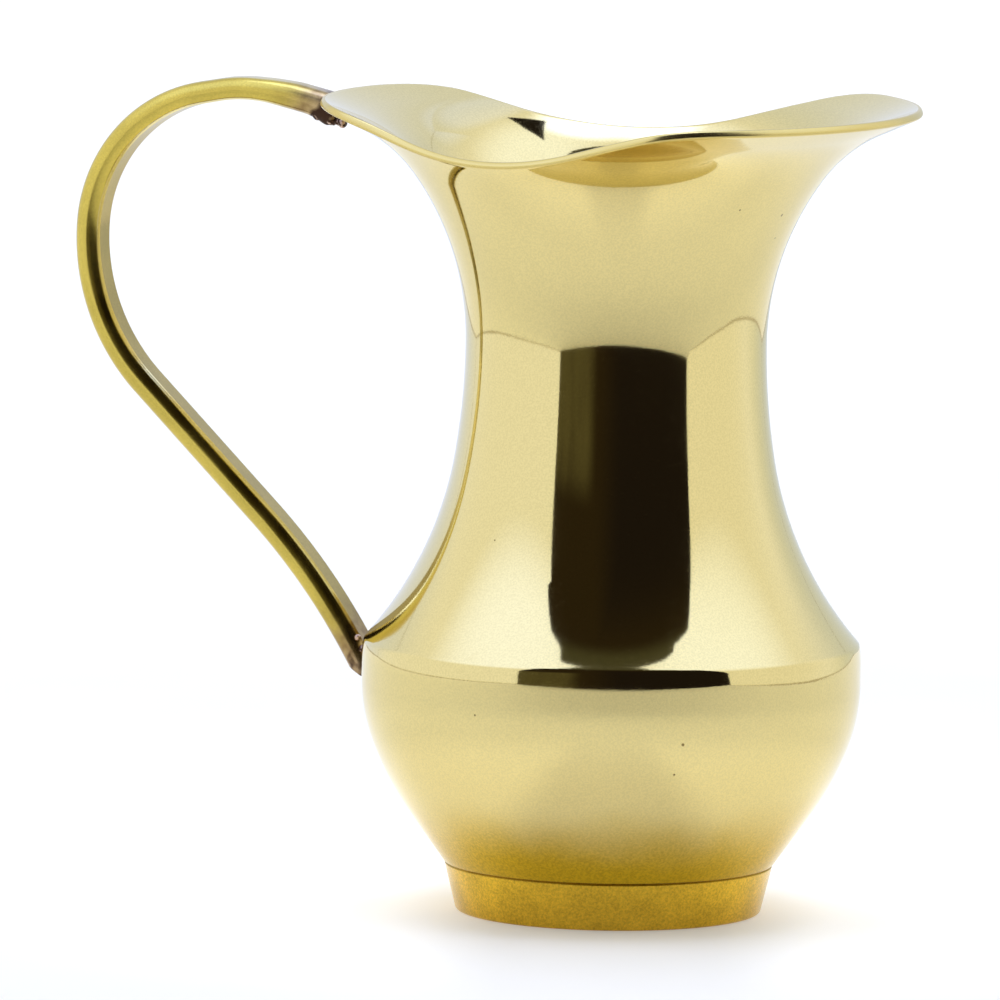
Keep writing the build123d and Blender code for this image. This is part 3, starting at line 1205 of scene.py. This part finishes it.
def dark_card(tree):
    """Nearly black, browner to the left and high up, with a lighter streak low on the left."""
    place = add(tree, "TexCoord").outputs["Generated"]
    parts = add(tree, "SeparateXYZ", {"Vector": place})
    sideways = parts.outputs["X"]
    upwards = parts.outputs["Z"]
    haze = add(tree, "TexNoise", {"Vector": place, "Scale": haze_scale}).outputs["Fac"]
    brown = greater(tree, fade(tree, upwards, *brown_up), fade(tree, sideways, *brown_across))
    streak = fade(tree, haze, haze_begin, haze_end, haze_least)
    streak = product(tree, fade(tree, sideways, *streak_across), streak)
    streak = product(tree, streak, fade(tree, upwards, *streak_up))
    colour = blend(tree, brown, card_dark, card_brown)
    colour = blend(tree, fade(tree, upwards, *olive_up), colour, card_olive)
    return blend(tree, streak, colour, card_streak)


sheet(
    "dark_front",
    [spot(x, tent_front, height) for x, height in opening],
    glow("dark_card", dark_card),
    unseen=("camera", "transmission"),
)

# Light of the tent, with patches as direction, inner and outer angle, and change of colour
tent_strength = 1.06
tent_white = (1.0, 1.04, 1.17, 1.0)
patches = (
    ((0.0, -1.0, 0.35), 25.0, 60.0, (0.80, 0.84, 0.92)),
    ((0.5, -0.85, -0.05), 5.0, 40.0, (0.85, 0.85, 0.75)),
    ((0.0, -0.11, 1.0), 7.0, 22.5, (2.3, 2.6, 3.9)),
    ((-0.52, 0.15, 0.84), 0.0, 34.0, (1.25, 1.36, 1.85)),
    ((0.52, 0.15, 0.84), 0.0, 34.0, (1.22, 1.32, 1.70)),
    ((0.91, 0.33, 0.22), 12.0, 48.0, (0.96, 0.94, 0.87)),
    ((0.32, -0.56, 0.77), 6.0, 14.0, (1.07, 1.12, 1.40)),
)


def tent_light(tree, way):
    """Colour of the tent in a direction."""
    light = tent_white
    for direction, inner, outer, colour in patches:
        toward = tuple(spot(*direction).normalized())
        along_it = add(tree, "VectorMath", {0: way, 1: toward}, operation="DOT_PRODUCT")
        share = fade(tree, along_it.outputs["Value"], cos(radians(outer)), cos(radians(inner)))
        light = blend(tree, share, light, blend(tree, 1.0, light, (*colour, 1.0), "MULTIPLY"))
    return light


def wall_light(tree):
    """Colour of a wall of the tent, as from the jug."""
    place = add(tree, "TexCoord").outputs["Object"]
    way = add(tree, "VectorMath", {0: place}, operation="NORMALIZE").outputs["Vector"]
    return tent_light(tree, way)


# White walls of the tent over a line on the floor, with thin seams at their foot and two back corners
seam_width = 0.004
wall_height = 0.6
corner_inset = 0.99
seam_grey = glow("tent_seam", (0.58, 0.55, 0.52))
corner_grey = glow("tent_corner", (0.34, 0.30, 0.22))
wall_glow = glow("tent_wall", wall_light, tent_strength)
wall_foot = (
    (-0.42, 0.46),
    (-0.47, 0.10),
    (-0.48, -0.47),
    (0.38, -0.61),
    (0.36, -0.28),
    (0.35, -0.06),
    (0.40, 0.11),
    (0.50, 0.32),
    (0.66, 0.46),
)
back_corners = wall_foot[2:4]


def upright_sheet(name, begin, end, low, high, finish):
    """Upright stage piece over a line on the floor, which only the brass shows."""
    corners = [spot(*begin, low), spot(*end, low), spot(*end, high), spot(*begin, high)]
    sheet(name, corners, finish, unseen=only_in_brass)


for i, (begin, end) in enumerate(zip(wall_foot, wall_foot[1:])):
    upright_sheet(f"wall_{i}", begin, end, seam_width, wall_height, wall_glow)
    upright_sheet(f"wall_seam_{i}", begin, end, 0.0, seam_width, seam_grey)
for i, (x, y) in enumerate(back_corners):
    begin = (corner_inset * x, corner_inset * y)
    end = (corner_inset * x + seam_width, corner_inset * y)
    upright_sheet(f"corner_seam_{i}", begin, end, 0.0, wall_height, corner_grey)

# Dark fitting over the tent that shows inside the lip, as distance and directions of its corners
fitting_distance = 1.0
fitting = ((140.9, 58.7), (130.3, 69.6), (83.9, 65.7), (115.4, 64.4))
sheet(
    "dark_fitting",
    [aimed(azimuth, elevation, fitting_distance) for azimuth, elevation in fitting],
    glow("dark_fitting", card_dark[:3]),
    unseen=only_in_brass,
)

# World: the light of the tent all round, plain white where it is seen directly
world = bpy.data.worlds.new("studio")
world.use_nodes = True
bpy.context.scene.world = world
sky = world.node_tree
light = tent_light(sky, add(sky, "TexCoord").outputs["Generated"])
seen_directly = add(sky, "LightPath").outputs["Is Camera Ray"]
light = blend(sky, seen_directly, light, white)
sky.links.new(light, sky.nodes["Background"].inputs["Color"])
sky.nodes["Background"].inputs["Strength"].default_value = tent_strength

bpy.context.scene.view_settings.view_transform = "Standard"
